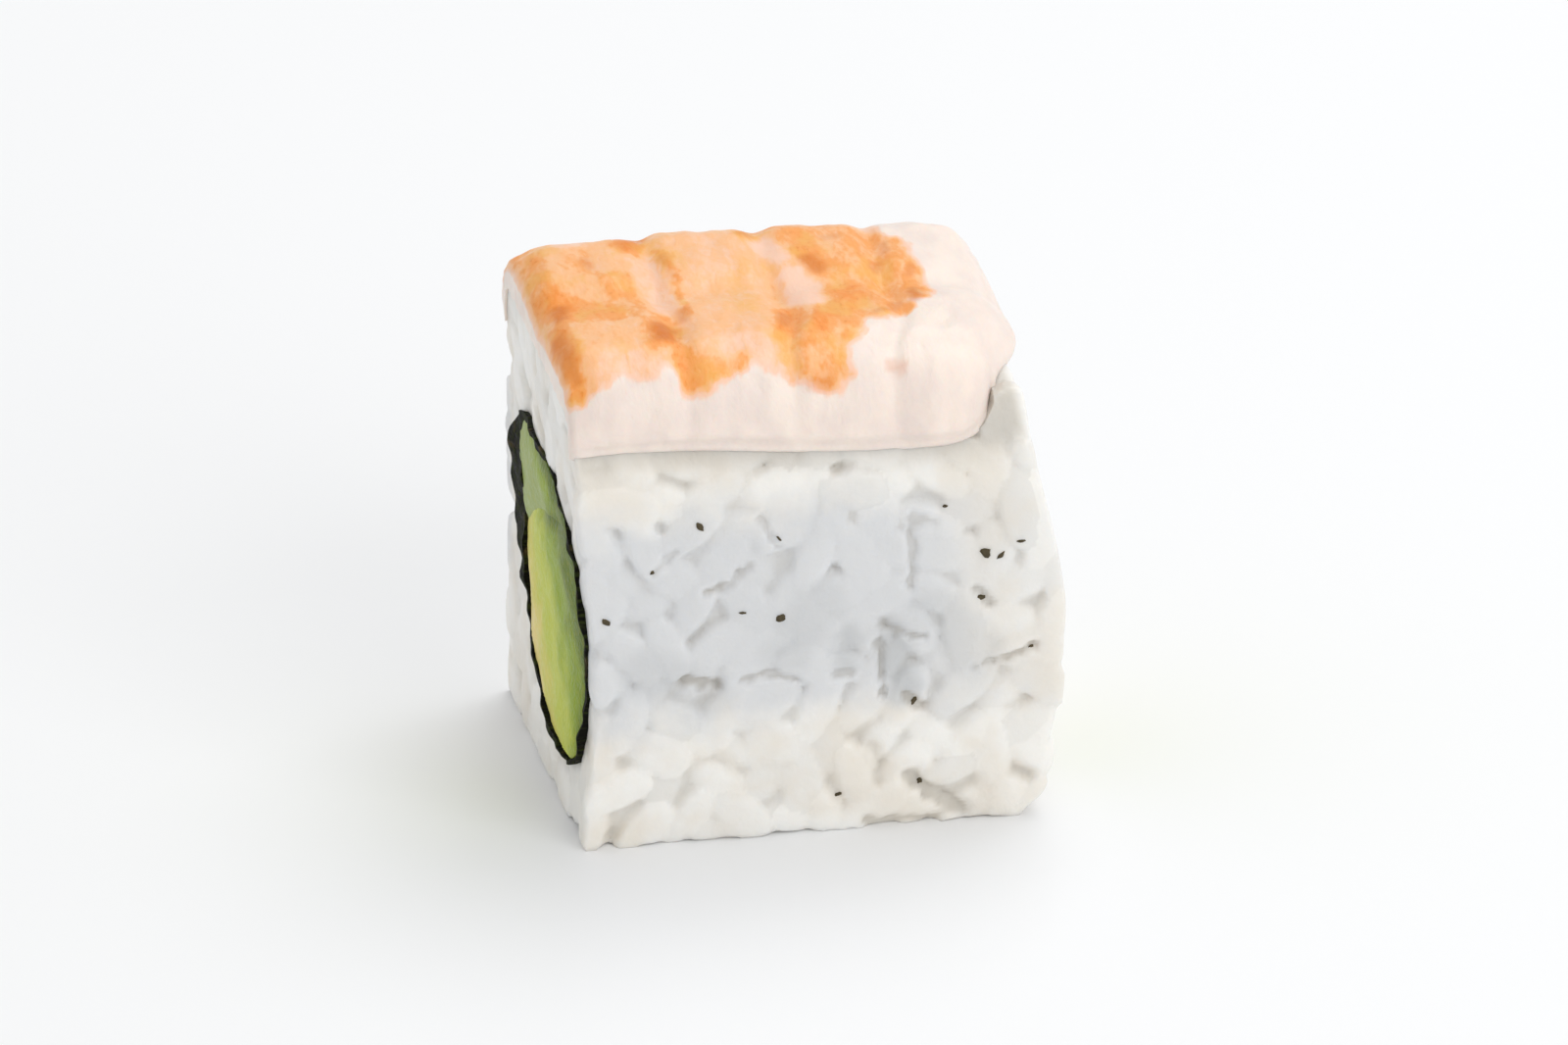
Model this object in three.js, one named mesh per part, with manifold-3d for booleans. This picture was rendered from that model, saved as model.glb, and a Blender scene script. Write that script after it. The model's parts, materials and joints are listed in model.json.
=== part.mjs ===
// One piece of an inside-out sushi roll, pressed square, with a cooked butterflied shrimp over its top.
// Millimetres, +Z up. X runs along the roll, so the two knife cuts face along X.
// The shown rice side faces -Y, and the origin is on the ground under the middle of the piece.
import * as THREE from "three";
import { mergeVertices } from "three/addons/utils/BufferGeometryUtils.js";
import { RoundedBoxGeometry } from "three/addons/geometries/RoundedBoxGeometry.js";
import Module from "manifold-3d";

const wasm = await Module();
wasm.setup();

// The whole piece.
const LENGTH = 33; // along the roll, from cut to cut
const DEPTH = 26; // front to back
const HEIGHT = 34; // from the flat underside to the highest point of the shrimp
const GAP = 0.3; // left between two touching foods
const RIM_GAP = 0.65; // left round the shrimp's rim, whose facets are steep
const OVERSHOOT = 4; // how far a cutting shape reaches past what it cuts
const ROUNDING_ERROR = 1e-6;

// The knife cuts. The left-hand one runs a little aslant in front, and the right-hand one swells.
const SLANT = 1.3; // how far in the front edge of the left-hand cut lies
const SLANT_HEIGHT = 11;
const SLANT_REACH = 11;
const SWELL = 3.2; // how far the right-hand cut stands out where it swells most
const SWELL_HEIGHT = 14;
const SWELL_REACH_ABOVE = 11.5;
const SWELL_REACH_BELOW = 18;
const FOOT = 1.5; // how far the lower edge of the right-hand cut is rounded in
const FOOT_REACH = 1.2;

// The shrimp, a bent slab of flesh.
const SHRIMP_TOP_THICKNESS = 3.4; // of each half, on top of the piece
const SHRIMP_VALLEY = 0.55; // the dip along its back, where its two halves meet
const SHRIMP_VALLEY_REACH = 2.2;
const SHRIMP_FLAP_THICKNESS = 1.7; // where it hangs over the edge
const SHRIMP_EDGE_THICKNESS = 0.9; // at the very end of the flap
const SHRIMP_BEND_RADIUS = 1.7; // of its underside, over the edge of the rice
const SHRIMP_UNDERSIDE = HEIGHT - SHRIMP_TOP_THICKNESS;
const SHRIMP_INNER_DEPTH = DEPTH - 2 * SHRIMP_FLAP_THICKNESS;
const FLAP_DROP = 6.3; // how far it hangs down from the top
const FLAP_WAVE = 0.5; // how uneven the flap's lower edge is
const FLAP_WAVE_LENGTH = 38;
const FRONT_FLAP_LONGEST = 6; // X where the front flap hangs down most
const BACK_FLAP_LONGEST = -3;
const SEGMENT_LENGTH = LENGTH / 4; // one muscle band of the tail
const SEGMENT_GROOVE = 0.5; // depth between two bands
const SEGMENT_GROOVE_WIDTH = 0.9;
const SEGMENT_SLANT = 0.07; // the bands run a little aslant down each side
const SHRIMP_END = LENGTH / 2 + 0.6; // the natural end of the flesh, a little past the rice under it
const SHRIMP_ARCH = 0.5; // the flesh is arched a little along the roll
const SHRIMP_ARCH_TOP = -5; // X where it is highest
const SHRIMP_CUT_ROUNDING = 1.4; // of its upper edge at the left-hand cut
const SHRIMP_END_ROUNDING = 4.4; // of its natural end's corners and upper edge
const FRONT_END_NARROWING = 2.2;
const BACK_END_NARROWING = 4.4;
const SHRIMP_END_THINNING = 1.4;
const FRONT_FLAP_LENGTH = 0.89; // share of the shrimp's length to which the front flap runs
const FRONT_FLAP_FROM = 4; // how far from the middle the end starts to run back to it
const FLAP_END_SHARE = 0.9; // share of the half width where the flap starts to thin
const STEPS_PER_SEGMENT = 6;
const STEPS_ACROSS = 30;

// The rice: a core, and cooked short grains that are pressed into it.
const RICE_TOP = SHRIMP_UNDERSIDE + 0.4; // cut back under the shrimp
const GRAIN_LENGTH = 6.4;
const GRAIN_WIDTH = 3.1;
const GRAIN_THICKNESS = 2.6;
const GRAIN_SIDES = 6;
const GRAIN_RINGS = 3;
const GRAIN_PROUD = 0.85; // how far a grain stands out of the core
const CUT_RELIEF = 0.35; // how far the grains that the knife sliced stand out of the left-hand cut
const MOST_LOST = 0.5; // a grain that would lose more of itself to the filling is left out
const GRAIN_LENGTH_SPREAD = 0.25; // shares by which one grain differs from the next
const GRAIN_GIRTH_SPREAD = 0.22;
const GRAIN_TILT = 0.5; // radians out of the face it lies in
const GRAIN_PITCH_ALONG = 4.7;
const GRAIN_PITCH_UP = 3.7;
const GRAIN_STAGGER = 0.25; // share of the pitch by which rows are shifted, to and fro
const GRAIN_WANDER = 1.1; // how far a grain strays from its place in the row
const GRAIN_SINK_SPREAD = 0.5;
const CORE_ROUNDING = 1.5;
const TOP_CLEARANCE = 2.4; // between the highest row of grains and the top of the rice
const RANDOM_SEED = 29;

// The filling: a loop of nori round two slices of avocado. Each point is [Y, Z] on the outside of the nori.
const NORI_LOOP = [
  [-8.6, 4.5],
  [-10.9, 10.3],
  [-10.9, 16.3],
  [-8.6, 21.2],
  [-0.5, 23.6],
  [7.6, 22.9],
  [9.6, 18.9],
  [7.2, 12.3],
  [4.6, 7.1],
  [-2.2, 3.9],
];
const NORI_THICKNESS = 0.55; // one soft sheet
const NORI_OVERLAP_THICKNESS = 2.1; // where its end is folded over
const NORI_OVERLAP_AT = 0.63; // share of the way round the loop
const NORI_OVERLAP_REACH = 0.08;
const FILLING_END = LENGTH / 2 - CUT_RELIEF; // it stops just short of the right-hand cut
const LOOP_STEPS = 40;
const ROLL_STEPS = 4; // lengths that the filling's slow drift is made of
const ROLL_STEP = (LENGTH / 2 + FILLING_END) / ROLL_STEPS;
const ROLL_DRIFT = 0.45; // how far the filling wanders inside the roll
const SLICE_SEAM = [
  [-13, 21.3],
  [-8, 20.7],
  [-3, 19.6],
  [2, 18.1],
  [6, 15.5],
  [12, 12.3],
];

const riceMaterial = new THREE.MeshStandardMaterial({ color: 0xdcdad4, roughness: 0.45, metalness: 0 });
const noriMaterial = new THREE.MeshStandardMaterial({ color: 0x141a12, roughness: 0.5, metalness: 0 });
const avocadoMaterial = new THREE.MeshStandardMaterial({ color: 0xa9b763, roughness: 0.4, metalness: 0 });
const paleMaterial = new THREE.MeshStandardMaterial({ color: 0x9dac74, roughness: 0.4, metalness: 0 });
const shrimpMaterial = new THREE.MeshStandardMaterial({ color: 0xf6bd8c, roughness: 0.35, metalness: 0 });

const UP = new THREE.Vector3(0, 0, 1);

function seededRandom(seed) {
  let state = seed;
  return () => {
    state = (state + 0x6d2b79f5) | 0;
    let mixed = Math.imul(state ^ (state >>> 15), 1 | state);
    mixed = (mixed + Math.imul(mixed ^ (mixed >>> 7), 61 | mixed)) ^ mixed;
    return ((mixed ^ (mixed >>> 14)) >>> 0) / 4294967296;
  };
}

function bell(offset, reach) {
  return Math.exp(-((offset / reach) ** 2));
}

function toSolid(geometry) {
  const bare = geometry.clone();
  bare.deleteAttribute("normal");
  bare.deleteAttribute("uv");
  const merged = mergeVertices(bare);
  return new wasm.Manifold(
    new wasm.Mesh({
      numProp: 3,
      vertProperties: merged.attributes.position.array,
      triVerts: Uint32Array.from(merged.index.array),
    }),
  );
}

function toMesh(name, solid, material) {
  const { vertProperties, triVerts } = solid.getMesh();
  const geometry = new THREE.BufferGeometry();
  geometry.setAttribute("position", new THREE.BufferAttribute(vertProperties, 3));
  geometry.setIndex(new THREE.BufferAttribute(triVerts, 1));
  moveVertices(geometry, dragByKnife);
  geometry.computeVertexNormals();
  const mesh = new THREE.Mesh(geometry, material);
  mesh.name = name;
  return mesh;
}

function moveVertices(geometry, place) {
  const position = geometry.attributes.position;
  const point = new THREE.Vector3();
  for (let i = 0; i < position.count; i += 1) {
    point.fromBufferAttribute(position, i);
    place(point);
    position.setXYZ(i, point.x, point.y, point.z);
  }
  return geometry;
}

function leftCutIn(y, z) {
  return SLANT * (0.5 - y / DEPTH) * bell(z - SLANT_HEIGHT, SLANT_REACH);
}

function rightCutIn(z) {
  const reach = z > SWELL_HEIGHT ? SWELL_REACH_ABOVE : SWELL_REACH_BELOW;
  return SWELL * (1 - bell(z - SWELL_HEIGHT, reach)) + FOOT * bell(z, FOOT_REACH);
}

// Draws all the food in where the two cuts lie in, and less and less away from them.
function dragByKnife(point) {
  const along = point.x / LENGTH + 0.5;
  point.x += (1 - along) ** 2 * leftCutIn(point.y, point.z) - along ** 2 * rightCutIn(point.z);
}

// The block between the two knife cuts and the pressed sides, from the flat underside up.
function knifeBlock() {
  const block = new THREE.BoxGeometry(LENGTH, DEPTH, HEIGHT);
  block.translate(0, 0, HEIGHT / 2);
  return toSolid(block);
}

// ---- The filling ----

const noriLoop = new THREE.CatmullRomCurve3(
  NORI_LOOP.map(([y, z]) => new THREE.Vector3(0, y, z)),
  true,
  "centripetal",
);

function noriThickness(share) {
  const extra = NORI_OVERLAP_THICKNESS - NORI_THICKNESS;
  return NORI_THICKNESS + extra * bell(share - NORI_OVERLAP_AT, NORI_OVERLAP_REACH);
}

// The loop's outline, moved inwards by a distance that can change on the way round.
function loopOutline(insetAt) {
  const outline = [];
  for (let step = 0; step < LOOP_STEPS; step += 1) {
    const share = step / LOOP_STEPS;
    const point = noriLoop.getPointAt(share);
    const along = noriLoop.getTangentAt(share);
    const inset = insetAt(share);
    outline.push(new THREE.Vector2(point.y + along.z * inset, point.z - along.y * inset));
  }
  return outline;
}

// A [Y, Z] outline run through the roll from the left-hand cut, in equal steps.
// `extra` steps go past each end.
function alongRoll(shape, extra) {
  const steps = ROLL_STEPS + 2 * extra;
  const settings = { depth: steps * ROLL_STEP, steps, bevelEnabled: false };
  const geometry = new THREE.ExtrudeGeometry(shape, settings);
  const yAxis = new THREE.Vector3(0, 1, 0);
  const xAxis = new THREE.Vector3(1, 0, 0);
  geometry.applyMatrix4(new THREE.Matrix4().makeBasis(yAxis, UP, xAxis));
  geometry.translate(-LENGTH / 2 - extra * ROLL_STEP, 0, 0);
  return toSolid(drift(geometry));
}

// The filling wanders a little up and down and to and fro as it runs through the roll.
function drift(geometry) {
  return moveVertices(geometry, (point) => {
    const turn = (Math.PI * point.x) / LENGTH;
    point.y += ROLL_DRIFT * Math.sin(turn);
    point.z += ROLL_DRIFT * Math.cos(turn);
  });
}

function makeNori() {
  const shape = new THREE.Shape(loopOutline(() => 0));
  shape.holes.push(new THREE.Path(loopOutline(noriThickness).reverse()));
  return alongRoll(shape, 0);
}

// The room inside the nori, above or below the seam between the two slices.
function makeSlice(above) {
  const room = new THREE.Shape(loopOutline((share) => noriThickness(share) + GAP));
  const seam = new THREE.CatmullRomCurve3(SLICE_SEAM.map(([y, z]) => new THREE.Vector3(0, y, z)));
  const away = above ? HEIGHT : -HEIGHT;
  const lift = above ? GAP / 2 : -GAP / 2;
  const side = seam.getPoints(2 * SLICE_SEAM.length).map(({ y, z }) => new THREE.Vector2(y, z + lift));
  side.push(new THREE.Vector2(side.at(-1).x, away));
  side.push(new THREE.Vector2(side[0].x, away));
  return alongRoll(room, 0).intersect(alongRoll(new THREE.Shape(side), 1));
}

function fillingRoom() {
  return alongRoll(new THREE.Shape(loopOutline(() => -GAP)), 1);
}

// ---- The shrimp ----

const FLAT_HALF = SHRIMP_INNER_DEPTH / 2 - SHRIMP_BEND_RADIUS;
const BEND_ARC = (Math.PI / 2) * SHRIMP_BEND_RADIUS;

// A point of the slab: `across` is measured from its middle along its underside, `height` out from that.
function bentPlace(point, across, height) {
  const side = Math.sign(across);
  const reach = Math.abs(across);
  const angle = THREE.MathUtils.clamp((reach - FLAT_HALF) / SHRIMP_BEND_RADIUS, 0, Math.PI / 2);
  const flat = Math.min(reach, FLAT_HALF);
  const fallen = Math.max(reach - FLAT_HALF - BEND_ARC, 0);
  const radius = SHRIMP_BEND_RADIUS + height;
  point.y = side * (flat + radius * Math.sin(angle));
  point.z = SHRIMP_UNDERSIDE - SHRIMP_BEND_RADIUS - fallen + radius * Math.cos(angle);
}

function archFall(x) {
  return SHRIMP_ARCH * ((x - SHRIMP_ARCH_TOP) / (LENGTH / 2)) ** 2;
}

// The front flap ends sooner than the rest, so the shrimp's right-hand end runs aslant there.
function lengthShare(across) {
  const towardsFlap = THREE.MathUtils.smoothstep(-across, FRONT_FLAP_FROM, FLAT_HALF + BEND_ARC);
  return THREE.MathUtils.lerp(1, FRONT_FLAP_LENGTH, towardsFlap);
}

// From 0 to 1 over the last stretch of the flesh before an end, along a quarter circle.
function roundedTo(end, stretch, x) {
  const into = THREE.MathUtils.clamp(1 - Math.abs(end - x) / stretch, 0, 1);
  return 1 - Math.sqrt(1 - into ** 2);
}

function roundedEnd(x) {
  return roundedTo(SHRIMP_END, SHRIMP_END_ROUNDING, x);
}

function shrimpHalfWidth(side, x) {
  const longest = side < 0 ? FRONT_FLAP_LONGEST : BACK_FLAP_LONGEST;
  const wave = FLAP_WAVE * Math.cos((2 * Math.PI * (x - longest)) / FLAP_WAVE_LENGTH);
  const narrowing = side < 0 ? FRONT_END_NARROWING : BACK_END_NARROWING;
  const underBend = SHRIMP_TOP_THICKNESS + SHRIMP_BEND_RADIUS;
  return FLAT_HALF + BEND_ARC + FLAP_DROP - underBend + wave - narrowing * roundedEnd(x);
}

function shrimpThickness(x, across, share) {
  const reach = Math.abs(across);
  const overEdge = THREE.MathUtils.smoothstep(reach, FLAT_HALF - SHRIMP_BEND_RADIUS, FLAT_HALF + BEND_ARC);
  const flapEnd = THREE.MathUtils.smoothstep(share, FLAP_END_SHARE, 1);
  const body = THREE.MathUtils.lerp(SHRIMP_TOP_THICKNESS, SHRIMP_FLAP_THICKNESS, overEdge);
  const tapered = THREE.MathUtils.lerp(body, SHRIMP_EDGE_THICKNESS, flapEnd);
  const alongBands = x - SEGMENT_SLANT * reach + LENGTH / 2;
  const toGroove = alongBands - SEGMENT_LENGTH * Math.round(alongBands / SEGMENT_LENGTH);
  const groove = SEGMENT_GROOVE * bell(toGroove, SEGMENT_GROOVE_WIDTH) * (1 - flapEnd) * (1 - overEdge / 2);
  const valley = SHRIMP_VALLEY * bell(across, SHRIMP_VALLEY_REACH);
  const atCut = SHRIMP_CUT_ROUNDING * roundedTo(-LENGTH / 2, SHRIMP_CUT_ROUNDING, x);
  const atEnd = SHRIMP_END_THINNING * roundedEnd(x);
  return tapered - groove - valley - (atCut + atEnd) * (1 - overEdge / 2);
}

// -1 or 1 on the rim of a slab that runs from -1 to 1, and 0 inside it.
function rimSide(share) {
  return Math.trunc(share * (1 + ROUNDING_ERROR));
}

// The slab between two heights, given as functions of X, the way across and the share of the half width.
// It is widened at its rim alone, so that a wider one runs alongside a narrower one.
function bentSlab(bottomAt, topAt, widen) {
  const columns = (LENGTH / SEGMENT_LENGTH) * STEPS_PER_SEGMENT;
  const slab = new THREE.BoxGeometry(2, 2, 1, columns, STEPS_ACROSS, 1);
  return moveVertices(slab, (point) => {
    const along = point.x;
    const share = point.y;
    const x = THREE.MathUtils.mapLinear(along, -1, 1, -LENGTH / 2, SHRIMP_END);
    const across = share * shrimpHalfWidth(share < 0 ? -1 : 1, x);
    const heightAt = point.z > 0 ? topAt : bottomAt;
    bentPlace(point, across + rimSide(share) * widen, heightAt(x, across, Math.abs(share)));
    point.z -= archFall(x);
    point.x = lengthShare(across) * (x + LENGTH / 2) - LENGTH / 2 + rimSide(along) * widen;
  });
}

function makeShrimp() {
  return toSolid(bentSlab(() => 0, shrimpThickness, 0));
}

function shrimpRoom() {
  return toSolid(bentSlab(() => -GAP, () => OVERSHOOT, RIM_GAP));
}

// ---- The rice ----

function makeCore() {
  const width = LENGTH - CUT_RELIEF - GRAIN_PROUD;
  const depth = DEPTH - 2 * GRAIN_PROUD;
  const core = new RoundedBoxGeometry(width, depth, RICE_TOP + CORE_ROUNDING, 2, CORE_ROUNDING);
  core.translate((CUT_RELIEF - GRAIN_PROUD) / 2, 0, (RICE_TOP - CORE_ROUNDING) / 2);
  return toSolid(core);
}

const random = seededRandom(RANDOM_SEED);

function spread(amount) {
  return amount * (random() - 0.5);
}

// One grain lying in the skin of the core, its broad side outwards.
function makeGrain(centre, outward) {
  const across = new THREE.Vector3().crossVectors(UP, outward).normalize();
  const along = UP.clone().applyAxisAngle(outward, random() * Math.PI);
  along.applyAxisAngle(across, spread(GRAIN_TILT)).normalize();
  const side = new THREE.Vector3().crossVectors(along, outward).normalize();
  const broad = new THREE.Vector3().crossVectors(side, along);
  const girth = 1 + spread(GRAIN_GIRTH_SPREAD);
  const length = GRAIN_LENGTH * (1 + spread(GRAIN_LENGTH_SPREAD));
  const grain = new THREE.SphereGeometry(0.5, GRAIN_SIDES, GRAIN_RINGS);
  grain.scale(GRAIN_WIDTH * girth, length, GRAIN_THICKNESS * girth);
  grain.applyMatrix4(new THREE.Matrix4().makeBasis(side, along, broad));
  grain.translate(centre.x, centre.y, centre.z);
  return toSolid(grain);
}

// Grains in staggered rows over one side: `half` is how far the rows run to each side of the middle.
function coverSide(outward, half, surface) {
  const rowAxis = new THREE.Vector3().crossVectors(UP, outward);
  const sink = GRAIN_THICKNESS / 2 - GRAIN_PROUD;
  const grains = [];
  const top = RICE_TOP - TOP_CLEARANCE;
  const rows = Math.round(top / GRAIN_PITCH_UP);
  const columns = Math.round((2 * half) / GRAIN_PITCH_ALONG);
  for (let row = 0; row < rows; row += 1) {
    for (let column = 0; column <= columns; column += 1) {
      const stagger = row % 2 ? GRAIN_STAGGER : -GRAIN_STAGGER;
      const along = -half + ((column + stagger) * 2 * half) / columns + spread(GRAIN_WANDER);
      const z = ((row + 0.5) * top) / rows + spread(GRAIN_WANDER);
      const centre = rowAxis.clone().multiplyScalar(along);
      centre.addScaledVector(outward, surface - sink + spread(GRAIN_SINK_SPREAD));
      centre.z = z;
      grains.push(makeGrain(centre, outward));
    }
  }
  return grains;
}

function makeRice() {
  const front = new THREE.Vector3(0, -1, 0);
  const back = new THREE.Vector3(0, 1, 0);
  const leftCut = new THREE.Vector3(-1, 0, 0);
  const rightCut = new THREE.Vector3(1, 0, 0);
  const faceOut = DEPTH / 2 - GRAIN_PROUD;
  const cutOut = LENGTH / 2 - GRAIN_PROUD;
  const alongHalf = LENGTH / 2 - GRAIN_WIDTH / 2;
  const leftHalf = DEPTH / 2 - GRAIN_WIDTH;
  const rightHalf = leftHalf - GRAIN_PROUD;
  const grains = [
    ...coverSide(front, alongHalf, faceOut),
    ...coverSide(back, alongHalf, faceOut),
    ...coverSide(leftCut, leftHalf, LENGTH / 2),
    ...coverSide(rightCut, rightHalf, cutOut),
  ];
  const room = fillingRoom();
  const whole = grains.filter((grain) => grain.intersect(room).volume() < MOST_LOST * grain.volume());
  const heap = wasm.Manifold.union([makeCore(), ...whole]);
  const cut = heap.intersect(knifeBlock()).subtract(room).subtract(shrimpRoom());
  const bodies = cut.decompose();
  return bodies.reduce((most, body) => (body.volume() > most.volume() ? body : most));
}

const piece = new THREE.Group();
piece.add(toMesh("rice", makeRice(), riceMaterial));
piece.add(toMesh("nori", makeNori(), noriMaterial));
piece.add(toMesh("avocado_thick_slice", makeSlice(false), avocadoMaterial));
piece.add(toMesh("avocado_thin_slice", makeSlice(true), paleMaterial));
piece.add(toMesh("shrimp", makeShrimp(), shrimpMaterial));

export default piece;
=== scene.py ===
import json
import math

import bmesh
import bpy
import numpy as np
from mathutils import Euler, Matrix, Vector, noise
from mathutils.bvhtree import BVHTree

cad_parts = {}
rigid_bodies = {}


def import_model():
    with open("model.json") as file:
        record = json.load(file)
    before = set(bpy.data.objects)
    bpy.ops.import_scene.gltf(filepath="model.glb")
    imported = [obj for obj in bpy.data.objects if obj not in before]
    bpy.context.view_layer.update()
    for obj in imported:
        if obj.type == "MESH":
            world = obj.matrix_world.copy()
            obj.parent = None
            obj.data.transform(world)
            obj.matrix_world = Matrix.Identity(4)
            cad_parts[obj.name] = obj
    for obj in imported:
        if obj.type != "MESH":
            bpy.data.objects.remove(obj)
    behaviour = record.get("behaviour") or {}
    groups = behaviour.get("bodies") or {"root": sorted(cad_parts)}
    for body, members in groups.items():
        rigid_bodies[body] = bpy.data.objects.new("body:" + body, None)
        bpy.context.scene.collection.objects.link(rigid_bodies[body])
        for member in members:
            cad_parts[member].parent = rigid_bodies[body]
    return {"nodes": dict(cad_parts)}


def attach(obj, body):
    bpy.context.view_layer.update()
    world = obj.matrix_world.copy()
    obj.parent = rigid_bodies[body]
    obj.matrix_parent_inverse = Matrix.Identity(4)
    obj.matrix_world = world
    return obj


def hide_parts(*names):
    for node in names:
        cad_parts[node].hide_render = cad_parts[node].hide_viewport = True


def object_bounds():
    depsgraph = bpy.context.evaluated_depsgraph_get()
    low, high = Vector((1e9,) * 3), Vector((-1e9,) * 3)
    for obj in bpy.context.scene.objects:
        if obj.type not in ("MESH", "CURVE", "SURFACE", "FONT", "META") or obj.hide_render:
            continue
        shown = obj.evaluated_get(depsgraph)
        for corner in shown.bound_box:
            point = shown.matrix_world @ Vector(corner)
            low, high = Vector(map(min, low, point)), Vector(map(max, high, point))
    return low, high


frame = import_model()
cad_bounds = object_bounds()
bpy.ops.object.select_all(action="DESELECT")

# ---- The avocado ----
# Two slices of ripe avocado run through the roll, a thick one and a thin one on top of it.
# Green under the skin, yellow towards the stone, cut with the roll and pressed a little out of its cuts.

MM = 0.001
ROLL_LENGTH, ROLL_DEPTH, ROLL_HEIGHT = (round(high - low, 5) for low, high in zip(*cad_bounds))
LEFT_CUT = -ROLL_LENGTH / 2
RIGHT_CUT = ROLL_LENGTH / 2
FILLING_END = RIGHT_CUT - 0.35 * MM
ON_CUT = 0.02 * MM  # a point this close to a knife cut lies on it
DRIFT = 0.45 * MM  # how far the filling wanders inside the roll
SLANT = 1.3 * MM  # how far in the front edge of the left-hand cut lies
SLANT_HEIGHT = 11 * MM
SLANT_REACH = 11 * MM
SWELL = 3.2 * MM  # how far the right-hand cut stands out where it swells most
SWELL_HEIGHT = 14 * MM
SWELL_REACH_ABOVE = 11.5 * MM
SWELL_REACH_BELOW = 18 * MM
FOOT = 1.5 * MM  # how far the lower edge of the right-hand cut is rounded in
FOOT_REACH = 1.2 * MM
OUTLINE_POINTS = 150
BAR_STEPS = 12
CAP_GRID = 0.4 * MM
OVERLAP = 1 * MM  # how far a shape that cuts or trims a piece reaches past it
SLICE_PRESS = 0.42 * MM  # how far the slices are pressed out against the nori and each other
SLICE_CROWN = 0.3 * MM  # how far the soft flesh stands out of the knife cuts
SLICE_CROWN_REACH = 1.1 * MM
SLICE_LUMPS = (2.6 * MM, 0.16 * MM)  # the size and depth of the cut flesh's unevenness
SLICE_FIBRES = (0.7 * MM, 0.05 * MM)
RIND_REACH = 1.1 * MM  # how deep under the skin the dark green goes
AVOCADO_DARK = (76, 98, 6)
AVOCADO_GREEN = (144, 168, 36)
AVOCADO_YELLOW = (196, 206, 80)
AVOCADO_STONE_SIDE = (234, 214, 132)
AVOCADO_PALE_GREEN = (156, 172, 104)


def activate(piece):
    bpy.ops.object.select_all(action="DESELECT")
    piece.select_set(True)
    bpy.context.view_layer.objects.active = piece


def points_of(piece):
    co = np.empty(len(piece.data.vertices) * 3)
    piece.data.vertices.foreach_get("co", co)
    return co.reshape(-1, 3)


def move_points(piece, co):
    piece.data.vertices.foreach_set("co", np.asarray(co, np.float32).ravel())
    piece.data.update()


def remove(*pieces):
    for piece in pieces:
        mesh = piece.data
        bpy.data.objects.remove(piece)
        bpy.data.meshes.remove(mesh)


def boolean(piece, other, operation):
    modifier = piece.modifiers.new(operation, "BOOLEAN")
    modifier.operation = operation
    modifier.solver = "MANIFOLD"
    if isinstance(other, bpy.types.Collection):
        modifier.operand_type = "COLLECTION"
        modifier.collection = other
    else:
        modifier.object = other
    activate(piece)
    bpy.ops.object.modifier_apply(modifier=modifier.name)


def smooth(piece, degrees):
    activate(piece)
    bpy.ops.object.shade_smooth_by_angle(angle=math.radians(degrees))
    bpy.ops.object.select_all(action="DESELECT")


def uneven(co, size, depth, seed):
    """Soft unevenness of a size and a depth, one number for each point."""
    shift = Vector((seed * 7.1, seed * 3.7, seed * 5.3))
    return np.array([depth * noise.noise(Vector(p) / size + shift) for p in co])


def bell(value, reach):
    return np.exp(-((value / reach) ** 2))


def smoothstep(value, low, high):
    share = np.clip((value - low) / (high - low), 0, 1)
    return share * share * (3 - 2 * share)


def left_cut_in(y, z):
    return SLANT * (0.5 - y / ROLL_DEPTH) * bell(z - SLANT_HEIGHT, SLANT_REACH)


def right_cut_in(z):
    reach = np.where(z > SWELL_HEIGHT, SWELL_REACH_ABOVE, SWELL_REACH_BELOW)
    return SWELL * (1 - bell(z - SWELL_HEIGHT, reach)) + FOOT * bell(z, FOOT_REACH)


def drag_by_knife(piece):
    """The two cuts aren't flat: the food is drawn in where they lie in, and less the further from them."""
    co = points_of(piece)
    along = co[:, 0] / ROLL_LENGTH + 0.5
    co[:, 0] += (1 - along) ** 2 * left_cut_in(co[:, 1], co[:, 2]) - along**2 * right_cut_in(co[:, 2])
    move_points(piece, co)


def drift(x):
    turn = math.pi * x / ROLL_LENGTH
    return np.stack([DRIFT * np.sin(turn), DRIFT * np.cos(turn)], axis=-1)


def evenly(outline):
    """Spaces a closed (y, z) outline evenly, anticlockwise from its lowest point, and rounds its facets."""
    following = np.roll(outline, -1, axis=0)
    area = np.sum(outline[:, 0] * following[:, 1] - following[:, 0] * outline[:, 1])
    outline = outline if area > 0 else outline[::-1]
    closed = np.roll(outline, -np.argmin(outline[:, 1]), axis=0)
    closed = np.vstack([closed, closed[:1]])
    way = np.concatenate([[0], np.cumsum(np.hypot(*np.diff(closed, axis=0).T))])
    at = np.linspace(0, way[-1], OUTLINE_POINTS, endpoint=False)
    points = np.stack([np.interp(at, way, closed[:, k]) for k in (0, 1)], axis=-1)
    for _ in range(4):
        points = 0.5 * points + 0.25 * (np.roll(points, 1, axis=0) + np.roll(points, -1, axis=0))
    return points


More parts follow.
